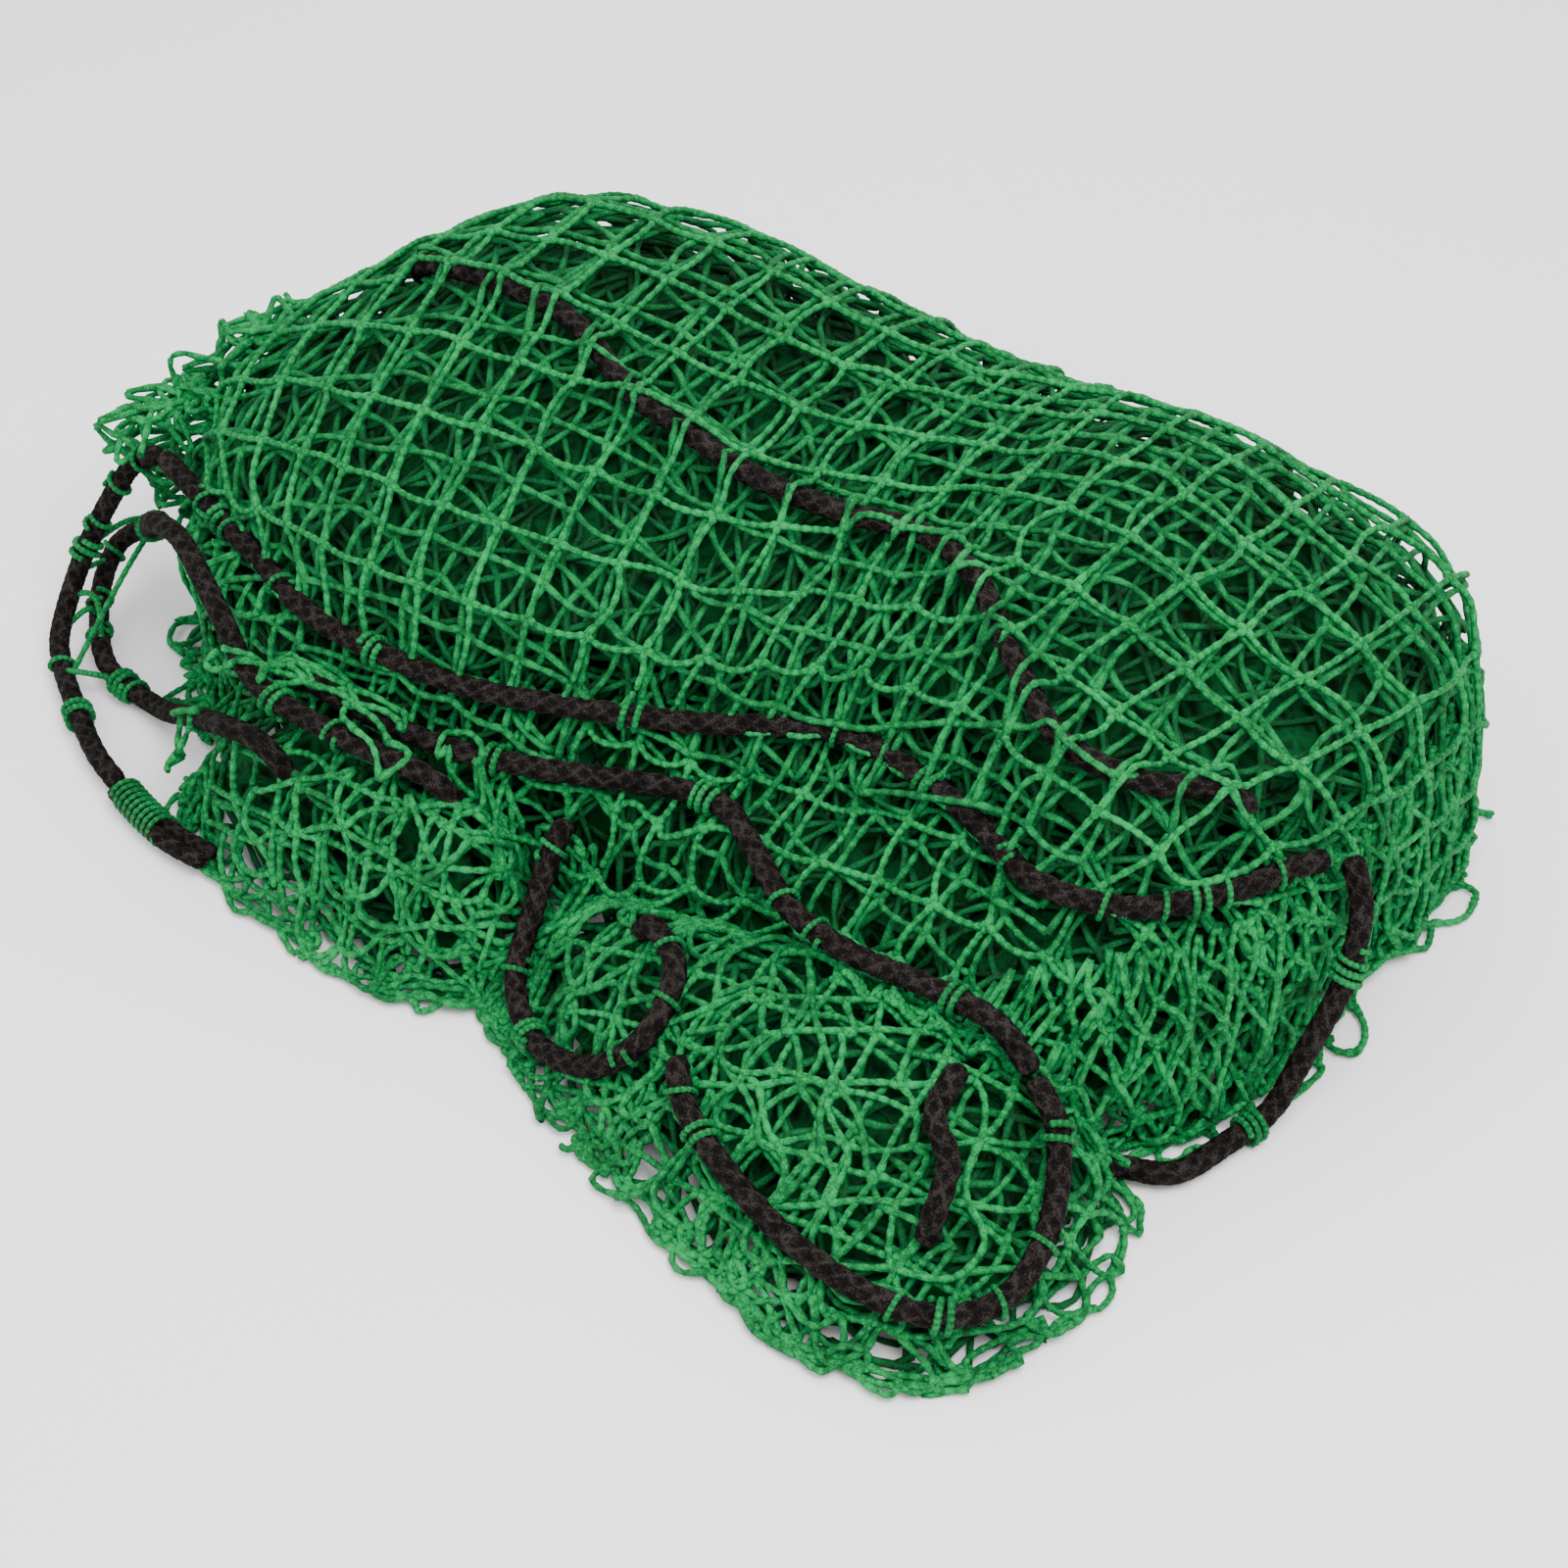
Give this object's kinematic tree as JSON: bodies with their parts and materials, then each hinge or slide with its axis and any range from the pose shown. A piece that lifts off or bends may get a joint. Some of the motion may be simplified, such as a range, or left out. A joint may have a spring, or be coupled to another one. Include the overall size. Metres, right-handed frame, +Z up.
{
  "type": "folded cargo net",
  "caption": "Fine-mesh knotless cargo net with a laced border rope, folded and lying in a soft heap; its top fold opens back like a book.",
  "frame": {"origin": "on the ground under the middle of the heap's bounding box", "axes": "+X along the heap's long side, -Y to its front where the loose lobes lie, +Z up"},
  "size_m": [0.6635, 0.4454, 0.2071],
  "materials": {
    "net_twine": "matt green braided polymer twine, slightly fuzzy",
    "border_rope": "matt warm-black braided rope",
    "lacing_twine": "matt green lacing twine"
  },
  "bodies": {
    "pile": {"border_rope_front_loop": "border_rope", "border_rope_front_run": "border_rope", "border_rope_left_edge": "border_rope", "border_rope_left_loop": "border_rope", "border_rope_right_side": "border_rope", "border_rope_small_loop": "border_rope", "border_rope_splice": "border_rope", "border_rope_tucked_bight": "border_rope", "front_lobe": "net_twine", "lacing_front_loop_1": "lacing_twine", "lacing_front_loop_2": "lacing_twine", "lacing_front_loop_3": "lacing_twine", "lacing_front_run_1": "lacing_twine", "lacing_front_run_2": "lacing_twine", "lacing_front_run_3": "lacing_twine", "lacing_left_edge_1": "lacing_twine", "lacing_left_edge_2": "lacing_twine", "lacing_left_loop_1": "lacing_twine", "lacing_left_loop_2": "lacing_twine", "lacing_left_loop_3": "lacing_twine", "lacing_right_side_1": "lacing_twine", "lacing_right_side_2": "lacing_twine", "lacing_small_loop_1": "lacing_twine", "left_lobe": "net_twine", "net_layer_1_bottom": "net_twine", "net_layer_2": "net_twine", "net_layer_3": "net_twine", "net_layer_4": "net_twine"},
    "top_fold": {"border_rope_top_edge": "border_rope", "border_rope_under_top_ply": "border_rope", "lacing_top_edge_1": "lacing_twine", "lacing_top_edge_2": "lacing_twine", "lacing_top_edge_3": "lacing_twine", "lacing_top_edge_4": "lacing_twine", "lacing_top_edge_5": "lacing_twine", "top_fold_crown": "net_twine", "top_fold_under": "net_twine"}
  },
  "joints": [
    {"name": "top_fold_hinge", "type": "hinge", "parent": "pile", "child": "top_fold", "pos_m": [0, 0.2235, 0.10015], "axis": [-1, 0, 0], "range_deg": [0, 172]}
  ]
}
